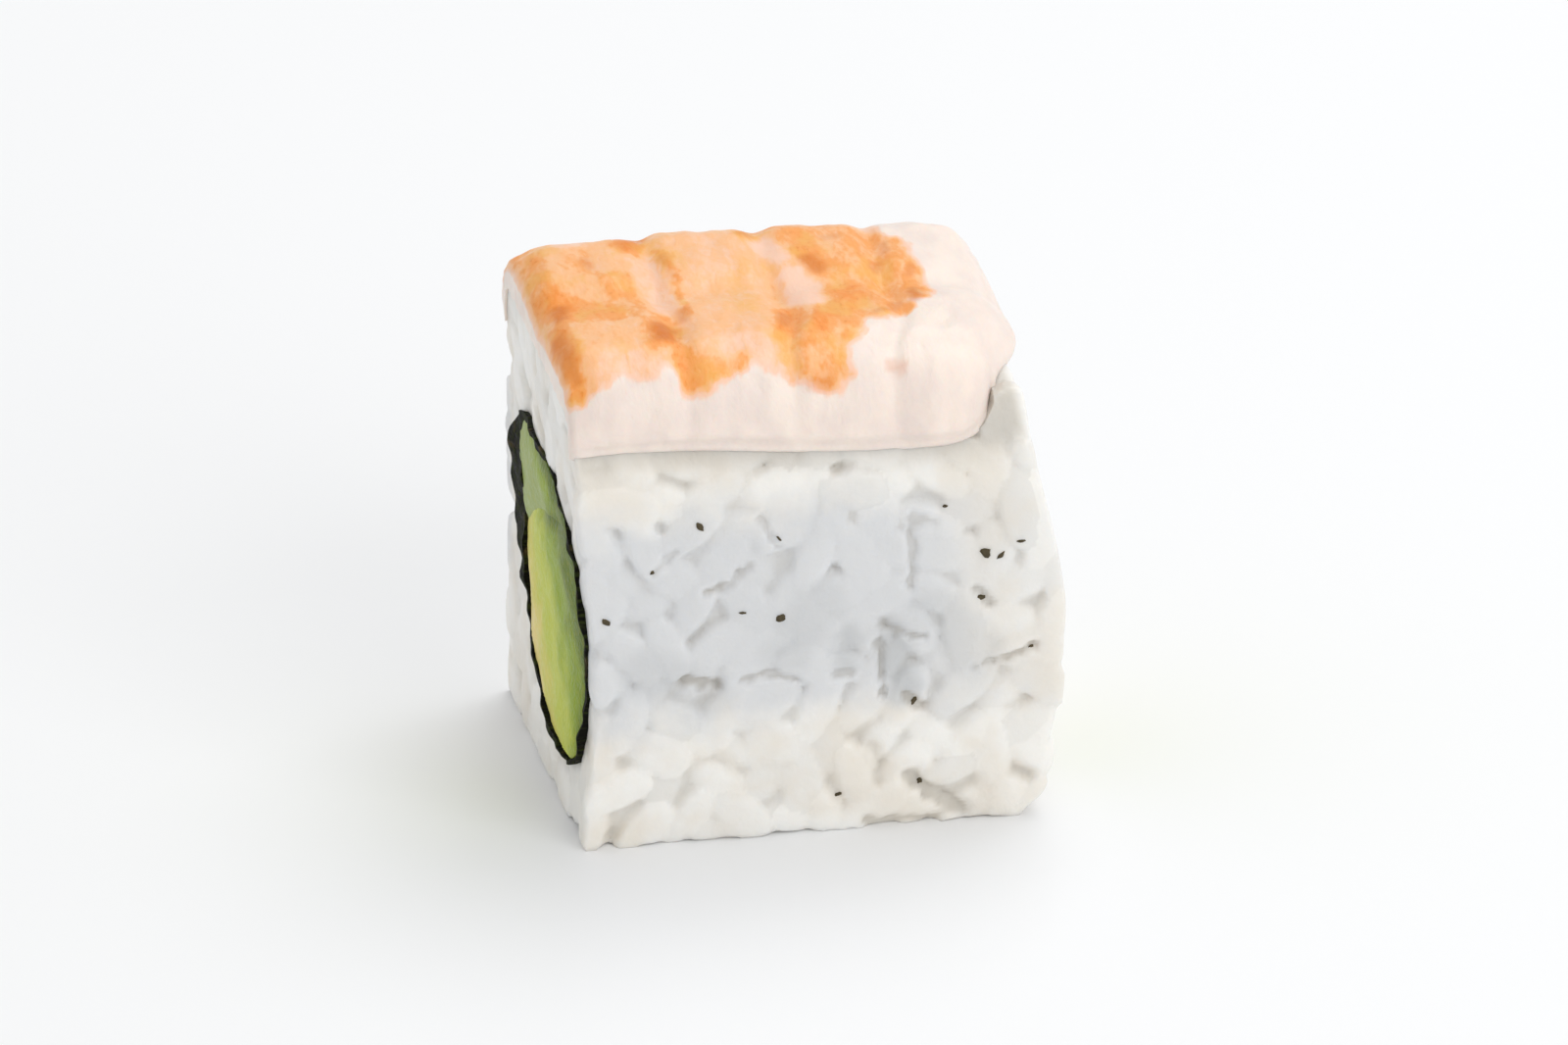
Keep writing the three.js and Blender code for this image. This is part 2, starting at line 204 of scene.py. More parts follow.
def cut_outlines(node):
    """The outlines of a frame node at its left-hand cut, widest first."""
    bm = bmesh.new()
    bm.from_mesh(frame["nodes"][node].data)
    bmesh.ops.remove_doubles(bm, verts=bm.verts, dist=0.001 * MM)
    ends = {v for v in bm.verts if v.co.x - left_cut_in(v.co.y, v.co.z) < LEFT_CUT + ON_CUT}
    cap = {f for f in bm.faces if all(v in ends for v in f.verts)}
    rim = {e for f in cap for e in f.edges if sum(g in cap for g in e.link_faces) == 1}
    outlines = []
    while rim:
        edge = rim.pop()
        loop = list(edge.verts)
        while True:
            following = next((e for e in loop[-1].link_edges if e in rim), None)
            if following is None:
                break
            rim.remove(following)
            loop.append(following.other_vert(loop[-1]))
        outlines.append(np.array([(v.co.y, v.co.z) for v in loop[:-1]]) - drift(LEFT_CUT))
    bm.free()
    return sorted((evenly(o) for o in outlines), key=lambda o: -np.ptp(o[:, 0]))


def grown(outline, distance):
    """Moves a closed outline outwards, or inwards where the distance is negative."""
    along = np.roll(outline, -1, axis=0) - np.roll(outline, 1, axis=0)
    along /= np.hypot(*along.T)[:, None]
    outward = np.stack([along[:, 1], -along[:, 0]], axis=-1)
    return outline + outward * np.reshape(distance, (-1, 1))


def bar(outline, start, end):
    """A closed bar of that outline from one X to another, which drifts as the filling does."""
    bpy.ops.mesh.primitive_circle_add(vertices=len(outline), radius=1, fill_type="NGON")
    piece = bpy.context.object
    move_points(piece, np.column_stack([np.full(len(outline), start), outline]))
    step = (end - start) / BAR_STEPS
    bpy.ops.object.mode_set(mode="EDIT")
    bpy.ops.mesh.select_all(action="SELECT")
    for _ in range(BAR_STEPS):
        bpy.ops.mesh.extrude_region_move(TRANSFORM_OT_translate={"value": (step, 0, 0)})
    bpy.ops.mesh.select_all(action="SELECT")
    bpy.ops.mesh.normals_make_consistent(inside=False)
    bpy.ops.object.mode_set(mode="OBJECT")
    co = points_of(piece)
    co[:, 1:] += drift(co[:, 0])
    move_points(piece, co)
    return piece


def block(name, low, high, step):
    """A block with a fine grid on the knife cuts at both its ends."""
    low, high = np.array(low), np.array(high)
    count = np.maximum(np.round((high - low) / step), 1).astype(int)
    bpy.ops.mesh.primitive_grid_add(x_subdivisions=int(count[1]), y_subdivisions=int(count[2]), size=1)
    piece = bpy.context.object
    piece.name = name
    co = points_of(piece)
    flat = np.column_stack([np.zeros(len(co)), co[:, 0] + 0.5, co[:, 1] + 0.5])
    move_points(piece, low + flat * (high - low))
    bpy.ops.object.mode_set(mode="EDIT")
    bpy.ops.mesh.select_all(action="SELECT")
    bpy.ops.mesh.extrude_region_move(TRANSFORM_OT_translate={"value": (high[0] - low[0], 0, 0)})
    bpy.ops.mesh.select_all(action="SELECT")
    bpy.ops.mesh.normals_make_consistent(inside=False)
    bpy.ops.object.mode_set(mode="OBJECT")
    return piece


def inside_by(co, outline):
    """How far each point lies from an outline that drifts along the roll."""
    flat = co[:, 1:] - drift(co[:, 0])
    return np.min(np.hypot(*(flat[:, None, :] - outline[None, :, :]).transpose(2, 0, 1)), axis=1)


def cut_ends(co):
    """-1 on the left-hand cut, 1 on the right-hand cut and 0 between them."""
    on_left = co[:, 0] < co[:, 0].min() + ON_CUT
    on_right = co[:, 0] > co[:, 0].max() - ON_CUT
    return np.where(on_left, -1, np.where(on_right, 1, 0))


def colour(red, green, blue):
    """A colour as seen on a screen, from 0 to 255, as the light it sends back."""
    screen = np.array([red, green, blue]) / 255
    light = np.where(screen <= 0.04045, screen / 12.92, ((screen + 0.055) / 1.055) ** 2.4)
    return (*light, 1)


class Finish:
    """A material under way: its shader and the few patterns that the finishes here are mixed from."""

    def __init__(self, name, **settings):
        self.material = bpy.data.materials.new(name)
        self.material.use_nodes = True
        self.tree = self.material.node_tree
        self.shader = self.tree.nodes["Principled BSDF"]
        for socket, value in settings.items():
            self.shader.inputs[socket.replace("_", " ")].default_value = value
        self.place = self.tree.nodes.new("ShaderNodeTexCoord").outputs["Object"]

    def put(self, socket, value):
        if isinstance(value, bpy.types.NodeSocket):
            self.tree.links.new(value, socket)
        else:
            socket.default_value = value

    def attribute(self, name):
        node = self.tree.nodes.new("ShaderNodeAttribute")
        node.attribute_name = name
        return node.outputs["Fac"]

    def axis(self, name):
        node = self.tree.nodes.new("ShaderNodeSeparateXYZ")
        self.put(node.inputs[0], self.place)
        return node.outputs[name]

    def mottle(self, size, stretch=(1, 1, 1), detail=3.0, warp=0.0):
        """Noise whose spots are about that size, drawn out along the axes by the stretch."""
        mapping = self.tree.nodes.new("ShaderNodeMapping")
        mapping.inputs["Scale"].default_value = [1 / (size * s) for s in stretch]
        self.put(mapping.inputs["Vector"], self.place)
        node = self.tree.nodes.new("ShaderNodeTexNoise")
        node.inputs["Scale"].default_value = 1
        node.inputs["Detail"].default_value = detail
        node.inputs["Distortion"].default_value = warp
        self.put(node.inputs["Vector"], mapping.outputs[0])
        return node.outputs["Fac"]

    def math(self, operation, *values):
        node = self.tree.nodes.new("ShaderNodeMath")
        node.operation = operation
        for socket, value in zip(node.inputs, values):
            self.put(socket, value)
        return node.outputs[0]

    def rise(self, value, low, high, bottom=0.0, top=1.0):
        """Goes softly from bottom to top while the value goes from low to high."""
        node = self.tree.nodes.new("ShaderNodeMapRange")
        node.interpolation_type = "SMOOTHSTEP"
        sockets = ("Value", "From Min", "From Max", "To Min", "To Max")
        for socket, number in zip(sockets, (value, low, high, bottom, top)):
            self.put(node.inputs[socket], number)
        return node.outputs[0]

    def mix(self, share, under, over):
        """Lays one colour over another. A Mix node has its colours at inputs 6 and 7 and output 2."""
        node = self.tree.nodes.new("ShaderNodeMix")
        node.data_type = "RGBA"
        self.put(node.inputs[0], share)
        self.put(node.inputs[6], under)
        self.put(node.inputs[7], over)
        return node.outputs[2]

    def relief(self, height, depth):
        node = self.tree.nodes.new("ShaderNodeBump")
        node.inputs["Distance"].default_value = depth
        self.put(node.inputs["Height"], height)
        self.put(self.shader.inputs["Normal"], node.outputs[0])

    def paint(self, piece, base, roughness):
        self.put(self.shader.inputs["Base Color"], base)
        self.put(self.shader.inputs["Roughness"], roughness)
        piece.data.materials.clear()
        piece.data.materials.append(self.material)


def avocado_flesh(name, skin_side, middle, stone_side):
    """Soft flesh that goes from dark green under the skin to yellow where the stone was."""
    finish = Finish(
        name, Subsurface_Weight=0.15, Subsurface_Radius=(1.0, 0.9, 0.35), Subsurface_Scale=0.5 * MM,
        IOR=1.42, Specular_IOR_Level=0.18,
    )
    cloud = finish.mottle(2.6 * MM, (1.6, 1, 1))
    speck = finish.mottle(0.5 * MM, detail=2)
    green = finish.math("ADD", finish.attribute("green"), finish.math("MULTIPLY_ADD", cloud, 0.36, -0.18))
    base = finish.mix(finish.rise(green, 0.1, 0.4), colour(*stone_side), colour(*middle))
    base = finish.mix(finish.rise(green, 0.42, 0.7), base, colour(*skin_side))
    base = finish.mix(finish.rise(green, 0.68, 0.9, 0, 0.75), base, colour(*AVOCADO_DARK))
    rind = finish.math("MULTIPLY", finish.attribute("skin"), finish.rise(cloud, 0.25, 0.5, 0.6, 1))
    base = finish.mix(finish.math("MULTIPLY", rind, 0.9), base, colour(*AVOCADO_DARK))
    base = finish.mix(finish.rise(speck, 0.45, 0.75, 0, 0.14), base, colour(*AVOCADO_STONE_SIDE))
    finish.relief(finish.math("ADD", finish.mottle(0.35 * MM, (3, 1, 1)), cloud), 0.12 * MM)
    return finish, base, finish.rise(speck, 0.3, 0.7, 0.32, 0.5)


def note(piece, **attributes):
    """Notes numbers on the points of a piece, for its material to read."""
    for name, values in attributes.items():
        attribute = piece.data.attributes.new(name, "FLOAT", "POINT")
        attribute.data.foreach_set("value", values.astype(np.float32))


def ripen(piece, outline):
    """Notes how green the flesh is at each point, and where it lies right under the skin."""
    co = points_of(piece)
    flat = co[:, 1:] - drift(co[:, 0])
    low, high = outline.min(axis=0), outline.max(axis=0)
    from_middle = (flat - (low + high) / 2) / (high - low)
    green = 0.5 - 0.8 * from_middle[:, 0] + 0.5 * from_middle[:, 1]
    skin = bell(inside_by(co, outline), RIND_REACH) * smoothstep(green, 0.45, 0.7)
    note(piece, green=green, skin=skin)


def slice_of_avocado(name, node, set_in, skin_side, middle, stone_side):
    """A slice that stops so far in from both cuts, before they crown out, and the outline it is made on."""
    start, end = LEFT_CUT + set_in, FILLING_END - set_in
    outline = grown(cut_outlines(node)[0], SLICE_PRESS)
    low, high = outline.min(axis=0) - OVERLAP, outline.max(axis=0) + OVERLAP
    piece = block(name, (start, *low), (end, *high), CAP_GRID)
    shape = bar(outline, start - OVERLAP, end + OVERLAP)
    boolean(piece, shape, "INTERSECT")
    remove(shape)
    co = points_of(piece)
    crown = SLICE_CROWN * (1 - np.exp(-inside_by(co, outline) / SLICE_CROWN_REACH))
    co[:, 0] += cut_ends(co) * (crown + uneven(co, *SLICE_LUMPS, 2) + uneven(co, *SLICE_FIBRES, 3))
    move_points(piece, co)
    drag_by_knife(piece)
    finish, base, roughness = avocado_flesh(name, skin_side, middle, stone_side)
    finish.paint(piece, base, roughness)
    smooth(piece, 50)
    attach(piece, "root")
    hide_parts(node)
    return piece, outline


thick_slice, thick_outline = slice_of_avocado(
    "avocado_thick", "avocado_thick_slice", 0.1 * MM,
    skin_side=AVOCADO_GREEN, middle=AVOCADO_YELLOW, stone_side=AVOCADO_STONE_SIDE,
)
thin_slice, thin_outline = slice_of_avocado(
    "avocado_thin", "avocado_thin_slice", 0.15 * MM,
    skin_side=AVOCADO_GREEN, middle=AVOCADO_PALE_GREEN, stone_side=AVOCADO_PALE_GREEN,
)

# ---- The nori ----
# A sheet of dried laver rolled round the avocado. It has gone soft and dark in the moist rice.
# Its edges lap over each other at the upper back, where several layers lie in a thick black band.

NORI_RAGGED = 0.18 * MM  # how uneven its surface is, at both of the sizes that follow
NORI_LUMPS = (1.3 * MM, 3.5 * MM)
NORI_RAGGED_OUTSIDE = 0.3  # the shares of that on the side to the rice and on the side to the filling
NORI_RAGGED_INSIDE = 1.6
NORI_FRAY = (1.4 * MM, 0.32 * MM)  # the size and depth of the raggedness of its cut edges
NORI_EDGE_WAVE = (4 * MM, 0.4 * MM)
NORI_PROUD = 0.1 * MM  # how far its cut edges stand out
NORI_THIN = 0.27 * MM  # how much thinner than its place in the roll the moist sheet has become
NORI_SHEET = 0.5 * MM  # about the room for one layer, and what is left of it at the thinnest
NORI_THINNEST = 0.12 * MM
FOLD = 1.3 * MM  # how much thicker the lapped layers are where they end
FOLD_AT = np.array([8.6, 18.8]) * MM
FOLD_REACH = 4.6 * MM
NORI_BLACK = (12, 12, 7)
NORI_GREEN = (50, 57, 24)
NORI_BROWN = (78, 66, 38)

nori_outside, nori_inside = cut_outlines("nori")


def ragged(outline, seed):
    flat = np.column_stack([np.zeros(len(outline)), outline])
    small, large = NORI_LUMPS
    return uneven(flat, small, NORI_RAGGED, seed) + uneven(flat, large, NORI_RAGGED, seed + 1)


fold = FOLD * bell(np.hypot(*(nori_inside - FOLD_AT).T), FOLD_REACH)
thinned = NORI_THIN - fold + NORI_RAGGED_INSIDE * ragged(nori_inside, 8)
thinned = np.minimum(thinned, NORI_SHEET - NORI_THINNEST)
swollen = NORI_RAGGED_OUTSIDE * ragged(nori_outside, 4)
outside = bar(grown(nori_outside, swollen), LEFT_CUT - OVERLAP, FILLING_END + OVERLAP)
inside = bar(grown(nori_inside, thinned), LEFT_CUT - 2 * OVERLAP, FILLING_END + 2 * OVERLAP)
low, high = nori_outside.min(axis=0) - OVERLAP, nori_outside.max(axis=0) + OVERLAP
nori = block("nori_sheet", (LEFT_CUT, *low), (FILLING_END, *high), CAP_GRID)
boolean(nori, outside, "INTERSECT")
boolean(nori, inside, "DIFFERENCE")
remove(outside, inside)
co = points_of(nori)
co[:, 0] += cut_ends(co) * (uneven(co, *NORI_FRAY, 5) + uneven(co, *NORI_EDGE_WAVE, 6) + NORI_PROUD)
move_points(nori, co)
drag_by_knife(nori)
for avocado, outline in ((thick_slice, thick_outline), (thin_slice, thin_outline)):
    boolean(avocado, nori, "DIFFERENCE")
    ripen(avocado, outline)

nori_finish = Finish("nori", IOR=1.4, Specular_IOR_Level=0.12)
fleck = nori_finish.mottle(0.35 * MM, (4, 1, 1), detail=4)
nori_base = nori_finish.mix(nori_finish.rise(fleck, 0.45, 0.7), colour(*NORI_BLACK), colour(*NORI_GREEN))
brown_spots = nori_finish.rise(nori_finish.mottle(1.2 * MM), 0.58, 0.75)
nori_base = nori_finish.mix(brown_spots, nori_base, colour(*NORI_BROWN))
nori_finish.relief(fleck, 0.15 * MM)
nori_finish.paint(nori, nori_base, nori_finish.rise(fleck, 0.3, 0.7, 0.5, 0.75))
smooth(nori, 35)
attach(nori, "root")
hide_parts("nori")

# ---- The shrimp ----
# A boiled shrimp, split along the belly, opened flat and pressed over the top of the roll.
# Its white flesh bends down over the long edges, and the orange skin pigment lies in bands across it.

TOP_THICKNESS = 3.4 * MM
FLAP_THICKNESS = 1.7 * MM
EDGE_THICKNESS = 0.9 * MM
VALLEY = 0.55 * MM  # the groove along the middle, where the shrimp was split
VALLEY_REACH = 2.2 * MM
BEND_RADIUS = 1.7 * MM
UNDERSIDE = ROLL_HEIGHT - TOP_THICKNESS
FLAP_DROP = 6.3 * MM  # from the shrimp's top down to the edge of a flap
FLAP_WAVE = 0.5 * MM
FLAP_WAVE_LENGTH = 38 * MM
FRONT_FLAP_LONGEST = 6 * MM  # where along the roll a flap hangs down the furthest
BACK_FLAP_LONGEST = -3 * MM
FLAP_END_SHARE = 0.9  # the flesh thins out over the rest of the way to a flap's edge
SEGMENT_LENGTH = ROLL_LENGTH / 4
SEGMENT_GROOVE = 0.5 * MM
SEGMENT_GROOVE_WIDTH = 0.9 * MM
SEGMENT_SLANT = 0.07  # how much the grooves lean away from the left-hand cut towards the flaps
SHRIMP_END = RIGHT_CUT + 0.6 * MM  # the tail end, before it is drawn in by the knife
ARCH = 0.5 * MM  # how much lower than its highest place the shrimp lies towards the cuts
ARCH_TOP = -5 * MM
CUT_ROUNDING = 1.4 * MM
END_ROUNDING = 4.4 * MM
FRONT_END_NARROWING = 2.2 * MM
BACK_END_NARROWING = 4.4 * MM
END_THINNING = 1.4 * MM
FRONT_FLAP_LENGTH = 0.89  # the front flap is shorter along the roll than the top by this share
FRONT_FLAP_FROM = 4 * MM  # how far in front of the middle it begins to be shorter
FLAT_HALF = ROLL_DEPTH / 2 - FLAP_THICKNESS - BEND_RADIUS
BEND_ARC = math.pi / 2 * BEND_RADIUS
FLESH_FOLDS = (1.5 * MM, 0.13 * MM)  # the size and depth of the cooked flesh's unevenness
FLESH_SWELLS = (4.5 * MM, 0.195 * MM)
FLESH_FIBRES = (0.6 * MM, 0.039 * MM)
CUT_FIBRES = (0.8 * MM, 0.1 * MM)
SHRIMP_GRID = 0.27 * MM
SHORTEST_FLAP = 4 * MM  # what the grid's rows are counted for
CROWDING = 0.35  # how much closer together the grid's rows lie near the flaps' edges
GRID_SHIFT = 0.012  # how far its columns are drawn towards the left-hand cut
RIM_STEPS = 5
RIM_ROUNDING = 0.4 * MM
SLAB_EDGE = 0.499  # a point of the flat slab that is further from its middle is on its rim


def rounded_to(end, stretch, x):
    into = np.clip(1 - np.abs(end - x) / stretch, 0, 1)
    return 1 - np.sqrt(1 - into**2)


def arch_fall(x):
    return ARCH * ((x - ARCH_TOP) / (ROLL_LENGTH / 2)) ** 2


def half_width(front, x):
    longest = np.where(front, FRONT_FLAP_LONGEST, BACK_FLAP_LONGEST)
    wave = FLAP_WAVE * np.cos(2 * math.pi * (x - longest) / FLAP_WAVE_LENGTH)
    narrowing = np.where(front, FRONT_END_NARROWING, BACK_END_NARROWING)
    full = FLAT_HALF + BEND_ARC + FLAP_DROP - (TOP_THICKNESS + BEND_RADIUS) + wave
    return full - narrowing * rounded_to(SHRIMP_END, END_ROUNDING, x)


def thickness(x, across, share):
    reach = np.abs(across)
    over_edge = smoothstep(reach, FLAT_HALF - BEND_RADIUS, FLAT_HALF + BEND_ARC)
    flap_end = smoothstep(share, FLAP_END_SHARE, 1)
    tapered = TOP_THICKNESS + (FLAP_THICKNESS - TOP_THICKNESS) * over_edge
    tapered += (EDGE_THICKNESS - tapered) * flap_end
    along = x - SEGMENT_SLANT * reach + ROLL_LENGTH / 2
    to_groove = np.abs((along + SEGMENT_LENGTH / 2) % SEGMENT_LENGTH - SEGMENT_LENGTH / 2)
    groove = SEGMENT_GROOVE * bell(to_groove, SEGMENT_GROOVE_WIDTH) * (1 - flap_end) * (1 - over_edge / 2)
    valley = VALLEY * bell(across, VALLEY_REACH)
    at_cut = CUT_ROUNDING * rounded_to(LEFT_CUT, CUT_ROUNDING, x)
    at_end = END_THINNING * rounded_to(SHRIMP_END, END_ROUNDING, x)
    return tapered - groove - valley - (at_cut + at_end) * (1 - over_edge / 2)


def bent(across, height):
    """Lays a point of the flat shrimp over the roll: flat on top, round the edge and down the side."""
    reach = np.abs(across)
    turn = np.clip((reach - FLAT_HALF) / BEND_RADIUS, 0, math.pi / 2)
    fallen = np.maximum(reach - FLAT_HALF - BEND_ARC, 0)
    radius = BEND_RADIUS + height
    y = np.sign(across) * (np.minimum(reach, FLAT_HALF) + radius * np.sin(turn))
    return y, UNDERSIDE - BEND_RADIUS - fallen + radius * np.cos(turn)


def shrimp_slab(name):
    """A flat slab with a fine grid above and below, from -0.5 to 0.5 both ways and 1 thick."""
    columns = round(ROLL_LENGTH / SHRIMP_GRID)
    rows = round(2 * (FLAT_HALF + BEND_ARC + SHORTEST_FLAP) / SHRIMP_GRID)
    bpy.ops.mesh.primitive_grid_add(x_subdivisions=columns, y_subdivisions=rows, size=1)
    piece = bpy.context.object
    piece.name = name
    bpy.ops.object.mode_set(mode="EDIT")
    bpy.ops.mesh.select_all(action="SELECT")
    for _ in range(RIM_STEPS):
        bpy.ops.mesh.extrude_region_move(TRANSFORM_OT_translate={"value": (0, 0, 1 / RIM_STEPS)})
    bpy.ops.mesh.select_all(action="SELECT")
    bpy.ops.mesh.normals_make_consistent(inside=False)
    bpy.ops.object.mode_set(mode="OBJECT")
    return piece


def spread_out(flat):
    """Where the slab's points lie on the shrimp before it is bent: their X, how far across they are,
    with the front below 0, and which share of the way to the flap's edge that is."""
    share = np.abs(flat[:, 1]) * 2
    share = np.sin(np.minimum(share, 1) * math.pi / 2) * CROWDING + share * (1 - CROWDING)
    side = np.sign(flat[:, 1])
    along = np.sin((flat[:, 0] + 0.5) * math.pi) * -GRID_SHIFT + flat[:, 0] + 0.5
    x = LEFT_CUT + along * (SHRIMP_END - LEFT_CUT)
    return x, side * share * half_width(side < 0, x), share


def drape(flat, bottom, extra, widen):
    """Lays the slab over the roll. The bottom and the extra raise its underside and its top, and widen
    moves its rim outwards."""
    level = flat[:, 2]
    x, across, share = spread_out(flat)
    side = np.sign(flat[:, 1])
    rim = RIM_ROUNDING * (1 - (2 * level - 1) ** 2) + widen
    height = bottom + level * (thickness(x, across, share) + extra - bottom)
    on_flap_edge = np.abs(flat[:, 1]) > SLAB_EDGE
    y, z = bent(across + np.where(on_flap_edge, side * rim, 0), height)
    to_flap = smoothstep(-across, FRONT_FLAP_FROM, FLAT_HALF + BEND_ARC)
    length = 1 + (FRONT_FLAP_LENGTH - 1) * to_flap
    end = np.where(flat[:, 0] > SLAB_EDGE, rim, 0)
    return np.column_stack([LEFT_CUT + length * (x - LEFT_CUT) + end, y, z - arch_fall(x)])


shrimp = shrimp_slab("shrimp_flesh")
flat = points_of(shrimp)
outer = flat[:, 2] > 1 - 0.5 / RIM_STEPS
x, across, _ = spread_out(flat)
flat_place = np.column_stack([x, across, np.zeros(len(x))])
wrinkle = uneven(flat_place * [1, 0.5, 1], *FLESH_FOLDS, 12)
wrinkle += uneven(flat_place, *FLESH_SWELLS, 13)
wrinkle += uneven(flat_place * [1, 0.7, 1], *FLESH_FIBRES, 14)
co = drape(flat, 0, np.where(outer, wrinkle, 0), 0)
on_cut = flat[:, 0] < -SLAB_EDGE
co[:, 0] += np.where(on_cut, uneven(co, *CUT_FIBRES, 15), 0)
move_points(shrimp, co)

# The skin's pigment is painted on the shrimp as it lies over the roll, in strokes that cover each other
# in turn. Each runs between two points, in millimetres from the left-hand cut and from the middle towards
# the front, measured over the outside of the bend.

SOFTEST_STROKE = 1.2  # a stroke wider than this has edges no softer than one of this radius
STROKE_WOBBLE = 0.6  # how ragged the strokes' edges are, in millimetres
BEND_STRETCH = 1.4  # how much the outside of a bend adds to each millimetre of the flat shrimp there
PIGMENT_STROKES = (  # from, to, radius and how much pigment: broad bands, paler patches, strong streaks
    ((1.8, -11), (1.8, 8.8), 2.7, 0.64), ((6, -11), (6, 7.6), 3.0, 0.6),
    ((11, -11.5), (11, 8.8), 3.0, 0.58), ((14.6, -11), (14.6, 8), 2.6, 0.57),
    ((19.5, -10.5), (19, 9), 3.0, 0.66), ((23, -9), (23, 3.8), 3.0, 0.7),
    ((25.6, -5), (26, 1.5), 2.2, 0.74),
    ((4.2, -10.5), (4.2, -8.8), 1.2, 0.42), ((8.2, -5), (8.7, 2.4), 1.1, 0.44),
    ((17, -7.4), (17.8, -3.5), 0.9, 0.36), ((18.6, -1.6), (18.7, 3), 1.5, 0.34),
    ((13, 9), (15.5, 9.8), 1.2, 0.42), ((3.2, 9.8), (6.6, 10.2), 1.1, 0.46),
    ((24.3, -10), (25.4, -8.8), 1.2, 0.42), ((12.6, -7), (12.8, -3), 1.2, 0.5),
    ((2, 0.5), (4.6, 2.5), 1.7, 0.93), ((5.9, -2.5), (6, 3.5), 0.9, 0.78),
    ((4.5, -7), (4.4, -4), 0.8, 0.76), ((8.9, -13.5), (8.4, -10), 1.2, 0.98),
    ((8.4, -10), (7.5, -7.2), 1.0, 0.96), ((0.8, -12), (0.9, -1), 0.75, 0.84),
    ((1.4, -1.5), (1.5, 3), 0.95, 0.98), ((0.6, 4), (0.8, 11.4), 0.85, 0.94),
    ((16.5, -12), (16.2, -8), 0.85, 0.92), ((19, -12), (19.6, -7), 1.5, 0.84),
    ((21.5, -9), (22, -6.8), 1.1, 0.76), ((20, -5.5), (20.4, -1.8), 1.0, 0.88),
    ((24.6, -7), (25, -1), 1.4, 0.77), ((26.8, -1.4), (26.5, 2.4), 0.9, 0.82),
    ((23, -1), (24, 2.4), 1.8, 0.74), ((21.6, 1.8), (21, 5.8), 1.4, 0.96),
    ((24.5, 4.2), (25.6, 4.6), 0.8, 0.8), ((16.9, 4.8), (16.8, 7.8), 1.1, 0.94),
    ((19.4, 5.4), (19.4, 8), 1.1, 0.97), ((21.4, 6.6), (21.6, 8.4), 1.0, 0.82),
    ((18.3, 10.4), (19.9, 11.2), 2.0, 0.74), ((7.7, 4.8), (7.5, 7.8), 1.15, 1.0),
    ((8.8, 9.2), (9.8, 11.4), 1.2, 0.9), ((10.4, 10.9), (13.2, 10.5), 0.7, 0.78),
    ((9.3, -7), (10.1, -3), 0.35, 0.84), ((10.1, -3), (9.6, 4), 0.3, 0.8),
    ((0.7, -11), (0.9, -15), 0.9, 0.9), ((12.5, -13), (13, -14.5), 1.6, 0.8),
    ((24, -11), (24.4, -13), 1.3, 0.8),
)
DEEP_STROKES = (  # the darkest spots
    ((1.5, 0.3), (1.3, 2.5), 0.5, 0.8), ((7.7, 5.7), (7.5, 7.3), 0.8, 0.95),
    ((19.8, -3.1), (20.2, -2.2), 0.7, 0.7), ((8.8, -11), (7.4, -7.6), 0.9, 0.5),
    ((26.7, 1.6), (26.4, 3.7), 0.45, 0.75), ((16.4, 5.2), (16.3, 6.6), 0.5, 0.55),
    ((25, 3.5), (24.4, 4.6), 0.4, 0.5), ((23.4, 5.6), (24.2, 5.2), 0.35, 0.45),
    ((16.5, -10.6), (16.2, -8), 0.5, 0.45), ((4.4, -5.8), (4.5, -4.6), 0.45, 0.45),
    ((9.4, 3.1), (9.2, 4.5), 0.4, 0.45), ((26.2, -5.6), (26, -4.4), 0.35, 0.45),
    ((25, -3), (24.6, -2.2), 0.4, 0.4), ((0.5, 5), (0.9, 10.4), 0.4, 0.5),
    ((25, 11), (26.2, 11.3), 0.4, 0.35), ((27.4, -1.8), (27, -1), 0.35, 0.4),
    ((9.6, -5.5), (10, -2), 0.35, 0.3), ((21.8, -6.4), (22.6, -6.6), 0.5, 0.3),
    ((18.4, 12.4), (19.8, 12.4), 0.5, 0.35), ((12.2, -11.4), (13, -11.3), 0.4, 0.3),
)


def painted(strokes, u, v, wobble, softness):
    """What the strokes leave at each point, where a later one covers those before it."""
    paint = np.zeros(len(u))
    for (u0, v0), (u1, v1), radius, level in strokes:
        run, rise = u1 - u0, v1 - v0
        along = np.clip(((u - u0) * run + (v - v0) * rise) / (run**2 + rise**2), 0, 1)
        away = np.hypot(u - u0 - along * run, v - v0 - along * rise) + wobble
        soft = softness * min(radius, SOFTEST_STROKE)
        cover = 1 - smoothstep(away, radius - soft, radius + soft)
        paint += cover * (level - paint)
    return paint


over_bend = BEND_STRETCH * np.clip(np.abs(across) - FLAT_HALF, 0, BEND_ARC)
u = (x - LEFT_CUT) / MM
v = -(across + np.sign(across) * over_bend) / MM
wobble = uneven(co * [1, 0.7, 0.7], 1.3 * MM, STROKE_WOBBLE, 21)
wobble += uneven(co * [1, 0.6, 0.6], 0.5 * MM, 0.6 * STROKE_WOBBLE, 22)
orange = painted(PIGMENT_STROKES, u, v, wobble, 0.6)
deep = painted(DEEP_STROKES, u, v, 0.4 * wobble, 0.8)
on_skin = np.where(outer, 1.0, 0.0) * np.where(on_cut, 0.6, 1.0)
note(shrimp, pigment=orange * on_skin, deep=deep * on_skin)
drag_by_knife(shrimp)

FLESH_WHITE = (246, 231, 220)
FLESH_CLEAR = (238, 223, 214)
PALE_PINK = (250, 206, 180)
PEACH = (250, 190, 138)
SHRIMP_ORANGE = (246, 166, 92)
SHRIMP_STRONG = (243, 150, 66)
SHRIMP_GOLDEN = (242, 182, 92)
SHRIMP_DEEP = (208, 112, 16)

